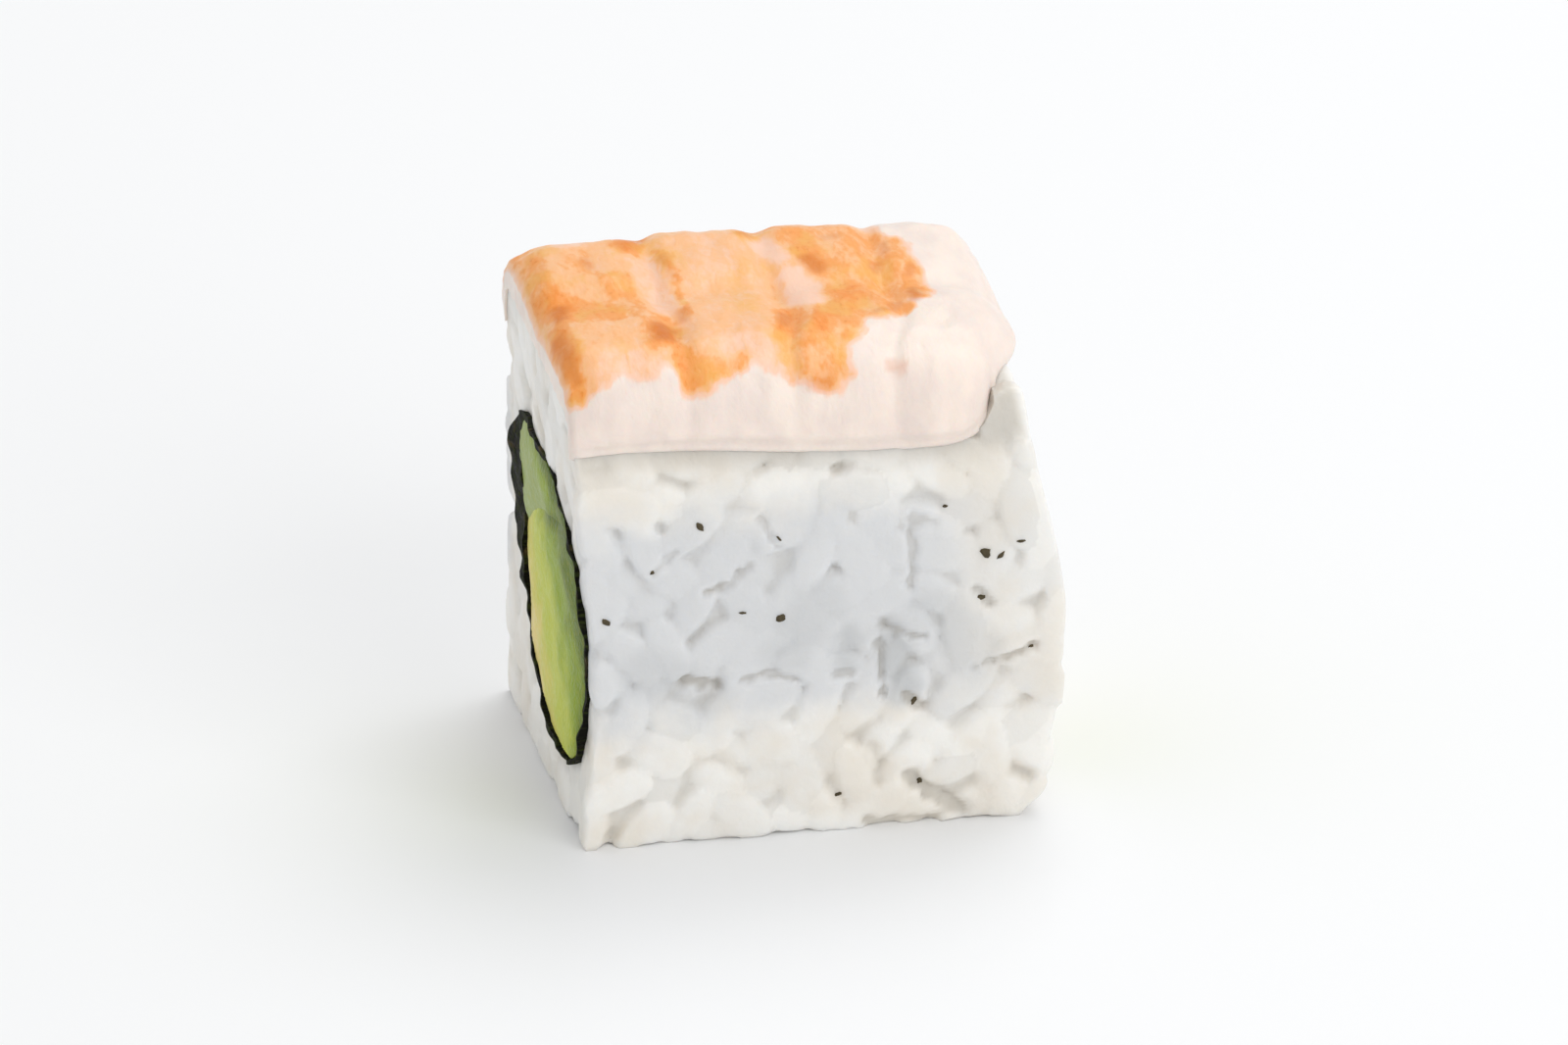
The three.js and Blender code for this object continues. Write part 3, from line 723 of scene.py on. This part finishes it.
flesh = Finish(
    "shrimp", Subsurface_Weight=0.3, Subsurface_Radius=(1.0, 0.6, 0.4), Subsurface_Scale=0.7 * MM,
    IOR=1.4, Specular_IOR_Level=0.3, Coat_Weight=0.06, Coat_Roughness=0.3,
)
streak = flesh.mottle(0.9 * MM, (1, 2.2, 1.6), detail=4, warp=0.5)
fine = flesh.mottle(0.3 * MM, (1, 2, 1.5), detail=3)
blotch = flesh.mottle(2.2 * MM, (1, 1.6, 1.3), detail=3)
strength = flesh.math("MULTIPLY", flesh.attribute("pigment"), flesh.rise(streak, 0.28, 0.7, 0.86, 1.1))
strength = flesh.math("MULTIPLY", strength, flesh.rise(fine, 0.3, 0.7, 0.92, 1.06))
base = flesh.mix(flesh.rise(blotch, 0.35, 0.7), colour(*FLESH_WHITE), colour(*FLESH_CLEAR))
base = flesh.mix(flesh.rise(strength, 0.05, 0.32), base, colour(*PALE_PINK))
base = flesh.mix(flesh.rise(strength, 0.32, 0.6), base, colour(*PEACH))
base = flesh.mix(flesh.rise(strength, 0.6, 0.82), base, colour(*SHRIMP_ORANGE))
base = flesh.mix(flesh.rise(strength, 0.82, 1.04), base, colour(*SHRIMP_STRONG))
golden = flesh.math("MULTIPLY", flesh.rise(blotch, 0.48, 0.66), flesh.rise(strength, 0.4, 0.7, 0, 0.55))
base = flesh.mix(golden, base, colour(*SHRIMP_GOLDEN))
dots = flesh.math("MULTIPLY", flesh.rise(fine, 0.58, 0.72), flesh.rise(strength, 0.6, 1.0, 0, 0.3))
dark = flesh.math("MAXIMUM", flesh.attribute("deep"), dots)
base = flesh.mix(flesh.math("MULTIPLY", dark, 0.88), base, colour(*SHRIMP_DEEP))
flesh.relief(flesh.math("ADD", streak, flesh.math("MULTIPLY", fine, 0.35)), 0.1 * MM)
flesh.paint(shrimp, base, flesh.rise(streak, 0.3, 0.7, 0.3, 0.46))
smooth(shrimp, 55)
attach(shrimp, "root")
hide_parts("shrimp")

# ---- The rice ----
# Seasoned short-grain rice, pressed square in a mat so that its outer grains lie flat and stick together.
# It is one block, packed round the filling and under the shrimp, with real grains fused into its core.

FRONT = -ROLL_DEPTH / 2
BACK = ROLL_DEPTH / 2
RICE_TOP = 31 * MM  # how high up the grains are laid, and a little lower on the right-hand cut
RIGHT_TOP = RICE_TOP - 1 * MM
GRAIN_LENGTH = 5.6 * MM
GRAIN_WIDTH = 2.9 * MM
GRAIN_THICKNESS = 2.5 * MM
GRAIN_BLUNTNESS = 0.8
GERM_END = 0.2  # how far from its middle a grain is narrower at the germ's end, as a share of its length
GERM_END_WIDTH = 0.85
GRAIN_SIZE_SPREAD = 0.22
GRAIN_TILT = 0.22  # the most that a grain tilts out of its side, in radians
GRAIN_SCATTER = 0.9  # the spread of the grains' places in their rows, in millimetres
GRAIN_SINK = 0.9 * MM  # how deep the middle of a grain lies under the pressed side
LEFT_GRAIN_SINK = 0.8 * MM
CORE_DEPTH = 0.75 * MM  # from the pressed sides down to the core between the grains
CORE_LUMPS = (1.9 * MM, 0.3 * MM)
CORE_TINT = 0.35
PRESS_GIVE = 0.34 * MM  # how far a pressed grain still domes out
LEFT_GIVE = 0.8 * PRESS_GIVE
FLOOR_GIVE = 0.3 * PRESS_GIVE
PRESS_UNEVEN = 0.34 * MM  # how much lower than its neighbours a grain may lie
FLOOR_UNEVEN = 0.2  # the share of that on the underside
UNDER_FLAP = 1.0 * MM  # how far the edge of the shrimp is pressed into the rice
UNDER_FLAP_REACH = 1.5 * MM
SIDE_PITCH = (3.2 * MM, 2.5 * MM)
END_PITCH = (3.2 * MM, 2.7 * MM)
FLOOR_PITCH = (3.8 * MM, 3.0 * MM)
FUSING = 0.26 * MM
TOP_GIVE = 0.5 * MM  # how far the rice past the shrimp's end stands up beside it
NORI_BITE = 0.15 * MM  # how far the moist sheet is pressed into the rice
SHRIMP_BITE = 0.06 * MM

rng = np.random.default_rng(11)


def soft_limit(value, limit, give):
    over = np.maximum(value - limit, 0)
    return np.minimum(value, limit) + give * (1 - np.exp(-over / give))


def side_in(front, co):
    """How far a long side is pressed in by the edge of the shrimp over it."""
    rim = UNDERSIDE - BEND_RADIUS - half_width(front, co[:, 0]) + FLAT_HALF + BEND_ARC
    return UNDER_FLAP * bell(np.minimum(co[:, 2] - rim, 0), UNDER_FLAP_REACH)


def press(co, lower):
    """Flattens what stands out of the pressed sides, the knife cuts and the underside."""
    co = co.copy()
    co[:, 1] = soft_limit(co[:, 1], BACK - PRESS_GIVE - lower - side_in(False, co), PRESS_GIVE)
    co[:, 1] = -soft_limit(-co[:, 1], -FRONT - PRESS_GIVE - lower - side_in(True, co), PRESS_GIVE)
    co[:, 0] = soft_limit(co[:, 0], RIGHT_CUT - PRESS_GIVE - lower, PRESS_GIVE)
    co[:, 0] = -soft_limit(-co[:, 0], -LEFT_CUT - LEFT_GIVE - lower, LEFT_GIVE)
    co[:, 2] = soft_limit(co[:, 2], UNDERSIDE - arch_fall(co[:, 0]), TOP_GIVE)
    co[:, 2] = np.maximum(-soft_limit(-co[:, 2], -FLOOR_UNEVEN * lower, FLOOR_GIVE), 0)
    return co


def make_core():
    bpy.ops.mesh.primitive_cube_add(size=1)
    core = bpy.context.object
    core.name = "rice_grains"
    bpy.ops.object.mode_set(mode="EDIT")
    bpy.ops.mesh.select_all(action="SELECT")
    bpy.ops.mesh.bevel(offset=0.05, segments=2)
    bpy.ops.mesh.subdivide(number_cuts=14)
    bpy.ops.object.mode_set(mode="OBJECT")
    co = points_of(core)
    low = np.array([LEFT_CUT + CORE_DEPTH, FRONT + CORE_DEPTH, 0])
    high = np.array([RIGHT_CUT - CORE_DEPTH, BACK - CORE_DEPTH, RICE_TOP + OVERLAP])
    co = low + (co + 0.5) * (high - low)
    lumps = uneven(co, *CORE_LUMPS, 1)
    co[:, 1] += lumps * np.sign(co[:, 1])
    co[:, 0] += lumps * np.sign(co[:, 0])
    co[:, 1] -= np.sign(co[:, 1]) * side_in(co[:, 1] < 0, co)
    co[:, 2] = np.clip(co[:, 2], 0, UNDERSIDE - arch_fall(co[:, 0]))
    move_points(core, co)
    return core


def make_grain():
    """A cooked grain: plump, blunt, a little flat, and thinner at the end where the germ was."""
    bpy.ops.mesh.primitive_uv_sphere_add(segments=10, ring_count=6, radius=0.5)
    grain = bpy.context.object
    co = points_of(grain)
    co = 0.5 * np.sign(co) * np.abs(2 * co) ** GRAIN_BLUNTNESS
    move_points(grain, co)
    bpy.ops.object.mode_set(mode="EDIT")
    bpy.ops.mesh.select_all(action="SELECT")
    bpy.ops.transform.resize(value=(GRAIN_WIDTH, GRAIN_THICKNESS, GRAIN_LENGTH))
    bpy.ops.mesh.select_all(action="DESELECT")
    bpy.ops.object.mode_set(mode="OBJECT")
    for vertex in grain.data.vertices:
        vertex.select = vertex.co.z > GERM_END * GRAIN_LENGTH
    bpy.ops.object.mode_set(mode="EDIT")
    bpy.ops.transform.resize(value=(GERM_END_WIDTH, GERM_END_WIDTH, 1))
    bpy.ops.object.mode_set(mode="OBJECT")
    return grain


def give_tint(mesh, value):
    values = np.full(len(mesh.polygons), value, np.float32)
    mesh.attributes.new("tint", "FLOAT", "FACE").data.foreach_set("value", values)


def lay_grain(grain, heap, centre, outward):
    """Copies the grain into one side of the block, broad side out, and presses it with the rest."""
    turn = Matrix.Rotation(rng.uniform(0, math.pi), 4, outward)
    tilt = Euler(rng.uniform(-GRAIN_TILT, GRAIN_TILT, 3)).to_matrix().to_4x4()
    stand = outward.to_track_quat("Y", "Z").to_matrix().to_4x4()
    size = Matrix.Diagonal((*(1 + GRAIN_SIZE_SPREAD * rng.uniform(-0.5, 0.5, 3)), 1))
    mesh = grain.data.copy()
    mesh.transform(Matrix.Translation(centre) @ tilt @ turn @ stand @ size)
    give_tint(mesh, rng.uniform(0, 1))
    piece = bpy.data.objects.new(f"grain_{len(heap.objects)}", mesh)
    move_points(piece, press(points_of(piece), PRESS_UNEVEN * rng.uniform(0, 1)))
    heap.objects.link(piece)


def cover_side(grain, heap, outward, low, high, pitch, depth):
    """Staggered rows of grains over a side, from one corner to the other."""
    low, high, outward = Vector(low), Vector(high), Vector(outward)
    span = high - low
    flat = [axis for axis in range(3) if abs(outward[axis]) < 0.5]
    rows = max(round(span[flat[1]] / pitch[1]), 1)
    columns = max(round(span[flat[0]] / pitch[0]), 1)
    for row in range(rows):
        for column in range(columns):
            centre = low.copy()
            shift = 0.25 if row % 2 else -0.25
            centre[flat[0]] += (column + 0.5 + shift) * span[flat[0]] / columns
            centre[flat[1]] += (row + 0.5) * span[flat[1]] / rows
            centre += Vector(rng.uniform(-0.5, 0.5, 3)) * GRAIN_SCATTER * MM
            lay_grain(grain, heap, centre - outward * depth, outward)


def fuse(piece):
    """Sticks the grains to each other: their creases close up a little and each keeps its own tint."""
    faces = BVHTree.FromObject(piece, bpy.context.evaluated_depsgraph_get())
    tints = np.empty(len(piece.data.polygons), np.float32)
    piece.data.attributes["tint"].data.foreach_get("value", tints)
    remesh = piece.modifiers.new("fuse", "REMESH")
    remesh.mode = "VOXEL"
    remesh.voxel_size = FUSING
    soften = piece.modifiers.new("soften", "SMOOTH")
    soften.factor = 0.5
    soften.iterations = 1
    activate(piece)
    for modifier in list(piece.modifiers):
        bpy.ops.object.modifier_apply(modifier=modifier.name)
    nearest = [faces.find_nearest(vertex.co)[2] for vertex in piece.data.vertices]
    note(piece, tint=tints[nearest])


rice = make_core()
give_tint(rice.data, CORE_TINT)
heap = bpy.data.collections.new("grains")
bpy.context.scene.collection.children.link(heap)
one_grain = make_grain()
for side in (
    ((0, -1, 0), (LEFT_CUT, FRONT, 0), (RIGHT_CUT, FRONT, RICE_TOP), SIDE_PITCH, GRAIN_SINK),
    ((0, 1, 0), (LEFT_CUT, BACK, 0), (RIGHT_CUT, BACK, RICE_TOP), SIDE_PITCH, GRAIN_SINK),
    ((-1, 0, 0), (LEFT_CUT, FRONT, 0), (LEFT_CUT, BACK, RICE_TOP), END_PITCH, LEFT_GRAIN_SINK),
    ((1, 0, 0), (RIGHT_CUT, FRONT, 0), (RIGHT_CUT, BACK, RIGHT_TOP), END_PITCH, GRAIN_SINK),
    ((0, 0, -1), (LEFT_CUT, FRONT, 0), (RIGHT_CUT, BACK, 0), FLOOR_PITCH, GRAIN_SINK),
):
    cover_side(one_grain, heap, *side)
boolean(rice, heap, "UNION")
remove(one_grain, *heap.objects)
bpy.data.collections.remove(heap)
fuse(rice)

room = bar(grown(nori_outside, -NORI_BITE), LEFT_CUT - 2 * OVERLAP, RIGHT_CUT + 2 * OVERLAP)
boolean(rice, room, "DIFFERENCE")
bed = shrimp_slab("bed")
flat = points_of(bed)
co = drape(flat, SHRIMP_BITE, 3 * OVERLAP, -SHRIMP_BITE)
co[:, 0] -= np.where(flat[:, 0] < -SLAB_EDGE, OVERLAP, 0)
move_points(bed, co)
boolean(rice, bed, "DIFFERENCE")
remove(room, bed)

# Where the front grains leave deeper creases between them, pushed in and darkened with painted shade, and
# where the rice is clearer than elsewhere and painted darker grey for the shade seen through it: strokes in
# millimetres from the left-hand cut and up from the ground.
FRONT_CREASES = (  # from, to, radius and how deep
    ((8.9, 17.7), (10.4, 18.2), 0.3, 0.8), ((10.4, 18.2), (11.7, 19.3), 0.25, 0.5),
    ((7.2, 11.6), (9.8, 11.1), 0.35, 0.9), ((11.3, 11.3), (13.2, 11.7), 0.28, 0.7),
    ((13.2, 11.7), (14.8, 11.0), 0.25, 0.6), ((22.5, 22.0), (22.5, 17), 0.25, 0.6),
    ((22.5, 21.8), (24, 21.6), 0.4, 0.6), ((26.8, 10.9), (29, 11.4), 0.25, 0.6),
    ((29, 11.4), (30.6, 12.2), 0.3, 0.8), ((22.3, 3.6), (23.6, 2.2), 0.5, 1.0),
    ((23.6, 2.2), (25.6, 0.9), 0.6, 1.0), ((20.4, 13.9), (20.6, 9.6), 0.25, 0.7),
    ((20.6, 14.3), (23.2, 13.4), 0.3, 0.7), ((22.2, 9.2), (22.9, 8.5), 0.45, 0.9),
    ((17.5, 11.4), (18.4, 11.2), 0.35, 0.6), ((12.4, 22.8), (13.6, 20.6), 0.25, 0.5),
    ((6.9, 21), (5.4, 19.4), 0.3, 0.5), ((19.8, 5.8), (20.4, 4.6), 0.35, 0.5),
    ((19.6, 0.4), (24, 0.2), 0.4, 0.8), ((26.8, 16.6), (27.6, 15.4), 0.3, 0.7),
)
FRONT_CLEAR = (  # from, to, radius and how clear, which is also how much painted shade shows through
    ((21.2, 13.6), (21.9, 9.8), 1.2, 0.9), ((18.4, 13.8), (18.2, 12), 0.9, 0.7),
    ((5, 12.6), (9, 10.4), 1.6, 0.4), ((24, 15), (27, 12), 1.8, 0.35),
    ((14, 13), (16.5, 16.5), 1.6, 0.35),
)
CREASE_DEPTH = 0.5 * MM
MARK_WOBBLE = (0.8 * MM, 0.35)  # the size of the raggedness of their edges, and its depth in millimetres
MARKS_FADE = (2 * MM, 1.2 * MM)  # how deep under the front they end, and where they begin to fade
SUNK_FROM = 1.2 * MM  # rice that lies deeper in than this gets the full painted crevice shade


def marks_in_front(strokes, co, seed):
    u, v = (co[:, 0] - LEFT_CUT) / MM, co[:, 2] / MM
    ended, fading = MARKS_FADE
    in_front = smoothstep(-co[:, 1], -FRONT - ended, -FRONT - fading)
    return in_front * painted(strokes, u, v, uneven(co, *MARK_WOBBLE, seed), 0.7)


drag_by_knife(rice)
co = points_of(rice)
crease = marks_in_front(FRONT_CREASES, co, 24)
clear = marks_in_front(FRONT_CLEAR, co, 25)
co[:, 1] += CREASE_DEPTH * crease
move_points(rice, co)
to_sides = np.stack([
    co[:, 0] - LEFT_CUT - left_cut_in(co[:, 1], co[:, 2]),
    RIGHT_CUT - right_cut_in(co[:, 2]) - co[:, 0],
    co[:, 1] - FRONT,
    BACK - co[:, 1],
    co[:, 2],
])
# Painted crevice shade: full where the rice lies deeper in than SUNK_FROM from its sides, and in the front
# creases.
sunk = np.clip(to_sides.min(axis=0) / SUNK_FROM, 0, 1)
note(rice, sunk=np.maximum(sunk, crease), clear=clear)

RICE_WHITE = (243, 241, 236)
RICE_CLEAR = (232, 230, 225)
RICE_BLUISH_SHADE = (211, 213, 216)
RICE_WARM = (230, 222, 209)
RICE_CREVICE_SHADE = (190, 183, 170)
RICE_CLEAR_SHADE = (184, 186, 187)

# Painted shade: the dark sheet behind the thin rice at the front and back shows through it as a bluish grey
# there, between these heights, this far from the middle of the roll, and less towards the right-hand end.
BLUISH_FROM = (6 * MM, 11 * MM)
BLUISH_UP_TO = (21 * MM, 26 * MM)
BLUISH_SIDE = (10.5 * MM, 12 * MM)
BLUISH_FADING = (6 * MM, 13 * MM)

grains = Finish(
    "rice", Subsurface_Weight=0.6, Subsurface_Radius=(1.0, 0.92, 0.82), Subsurface_Scale=1.4 * MM,
    IOR=1.4, Coat_Weight=0.2, Coat_Roughness=0.25,
)
cloud = grains.mottle(3 * MM, detail=3)
base = grains.mix(grains.rise(grains.attribute("tint"), 0, 0.7), colour(*RICE_CLEAR), colour(*RICE_WHITE))
height = grains.math("ADD", grains.axis("Z"), grains.math("MULTIPLY_ADD", cloud, 6 * MM, -3 * MM))
nori_shade_seen = grains.rise(height, *BLUISH_FROM)
for part in (
    grains.rise(height, *BLUISH_UP_TO, 1, 0),
    grains.rise(grains.math("ABSOLUTE", grains.axis("Y")), *BLUISH_SIDE),
    grains.rise(grains.axis("X"), *BLUISH_FADING, 1, 0.25),
):
    nori_shade_seen = grains.math("MULTIPLY", nori_shade_seen, part)
# Painted shade of the nori seen through the thin rice.
base = grains.mix(grains.math("MULTIPLY", nori_shade_seen, 0.75), base, colour(*RICE_BLUISH_SHADE))
warm = grains.rise(grains.mottle(5 * MM), 0.4, 0.65)
warm = grains.math("MULTIPLY", grains.math("SUBTRACT", 1, nori_shade_seen), warm)
base = grains.mix(grains.math("MULTIPLY", warm, 0.6), base, colour(*RICE_WARM))
# The rice is clearer here, and painted a darker grey for the shade seen through it.
base = grains.mix(grains.math("MULTIPLY", grains.attribute("clear"), 0.7), base, colour(*RICE_CLEAR_SHADE))
# Painted shade: a darker, warmer grey in the creases between the grains and wherever the rice lies deeper
# in than its sides.
base = grains.mix(grains.rise(grains.attribute("sunk"), 0.25, 1.0, 0, 0.6), base, colour(*RICE_CREVICE_SHADE))
grains.relief(grains.mottle(0.7 * MM, detail=4), 0.1 * MM)
grains.paint(rice, base, grains.rise(cloud, 0.3, 0.7, 0.34, 0.52))
smooth(rice, 50)
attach(rice, "root")
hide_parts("rice")

# ---- Crumbs of nori ----
# Small dark crumbs that came off the sheet of nori when it was cut. They stick to the moist rice in
# front, half pressed in, and are one piece.

CRUMB_SIZE = 0.32 * MM
CRUMB_THICKNESS = 0.12 * MM
CRUMB_DARK = (44, 42, 30)
CRUMB_BROWN = (104, 92, 70)
FRONT_CRUMBS = (  # millimetres from the left-hand cut and up from the ground, and how large
    (8.4, 22.7, 1.0), (5.3, 19.6, 0.6), (2.3, 16.3, 0.9), (13.8, 15.6, 0.9), (27.4, 19.1, 1.3),
    (28.4, 18.8, 0.8), (29.7, 19.8, 0.7), (27.1, 15.8, 0.9), (17.7, 2.5, 1.0), (22.7, 8.7, 0.8),
    (13.7, 21.3, 0.5), (11.3, 16.2, 0.5), (24.7, 22.6, 0.5), (30.5, 12, 0.5), (23.2, 2.9, 0.9),
)
surface = BVHTree.FromObject(rice, bpy.context.evaluated_depsgraph_get())
bpy.ops.mesh.primitive_ico_sphere_add(subdivisions=2, radius=1)
crumb = bpy.context.object
crumb.name = "nori_crumbs"
one_crumb = points_of(crumb)
activate(crumb)
bpy.ops.object.mode_set(mode="EDIT")
bpy.ops.mesh.select_all(action="SELECT")
for _ in FRONT_CRUMBS[1:]:
    bpy.ops.mesh.duplicate()
bpy.ops.object.mode_set(mode="OBJECT")
places = []
for index, (along, up, size) in enumerate(FRONT_CRUMBS):
    origin = Vector((LEFT_CUT + along * MM, FRONT - 5 * MM, up * MM))
    hit, _, _, _ = surface.ray_cast(origin, Vector((0, 1, 0)))
    lumps = 1 + uneven(one_crumb, 0.8, 0.6, 31 + index)
    spread = [CRUMB_SIZE * rng.uniform(0.8, 1.5), CRUMB_THICKNESS, CRUMB_SIZE * rng.uniform(0.4, 0.9)]
    shape = one_crumb * lumps[:, None] * size * spread
    spin = np.array(Matrix.Rotation(rng.uniform(0, math.pi), 3, "Y"))
    places.append(shape @ spin.T + np.array(hit))
move_points(crumb, np.vstack(places))
crumb_finish = Finish("nori_crumb", IOR=1.4, Specular_IOR_Level=0.2)
crumb_base = crumb_finish.mix(crumb_finish.mottle(0.4 * MM), colour(*CRUMB_DARK), colour(*CRUMB_BROWN))
crumb_finish.paint(crumb, crumb_base, 0.6)
smooth(crumb, 60)
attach(crumb, "root")

# ---- Table, light and camera ----
# A plain pale table in even white light, with a big soft light from above and behind and another from
# the front. The camera stands a little to the left of the front and looks down.

TABLE_COLOUR = (245, 246, 247)
EVEN_LIGHT = 0.68
LIGHTS_AIM = Vector((0, 0, 15 * MM))
bpy.ops.mesh.primitive_plane_add(size=4)
table = bpy.context.object
table.name = "table"
table_finish = Finish("table")
table_finish.paint(table, colour(*TABLE_COLOUR), 0.6)

world = bpy.data.worlds.new("studio")
bpy.context.scene.world = world
world.use_nodes = True
background = world.node_tree.nodes["Background"]
background.inputs["Color"].default_value = (1, 1, 1, 1)
background.inputs["Strength"].default_value = EVEN_LIGHT


def soft_light(name, place, size, watts):
    bpy.ops.object.light_add(type="AREA", location=place)
    light = bpy.context.object
    light.name = name
    light.data.size = size
    light.data.energy = watts
    aim = LIGHTS_AIM - light.location
    light.rotation_euler = aim.to_track_quat("-Z", "Y").to_euler()


soft_light("key", place=(0.18, 0.22, 0.55), size=0.4, watts=1.2)
soft_light("front", place=(0.3, -0.55, 0.4), size=0.5, watts=1.55)

CAMERA_AZIMUTH = math.radians(-11)
CAMERA_ELEVATION = math.radians(24.5)
CAMERA_DISTANCE = 1.2
CAMERA_LENS = 420
CAMERA_AIM = Vector((0, 0, 16.5 * MM))
back = Vector((
    math.sin(CAMERA_AZIMUTH) * math.cos(CAMERA_ELEVATION),
    -math.cos(CAMERA_AZIMUTH) * math.cos(CAMERA_ELEVATION),
    math.sin(CAMERA_ELEVATION),
))
bpy.ops.object.camera_add(location=CAMERA_AIM + CAMERA_DISTANCE * back)
camera = bpy.context.object
camera.rotation_euler = back.to_track_quat("Z", "Y").to_euler()
camera.data.lens = CAMERA_LENS
camera.data.clip_start = 0.05
camera.data.clip_end = 20
bpy.context.scene.camera = camera
bpy.context.scene.view_settings.view_transform = "Standard"

bpy.context.view_layer.update()
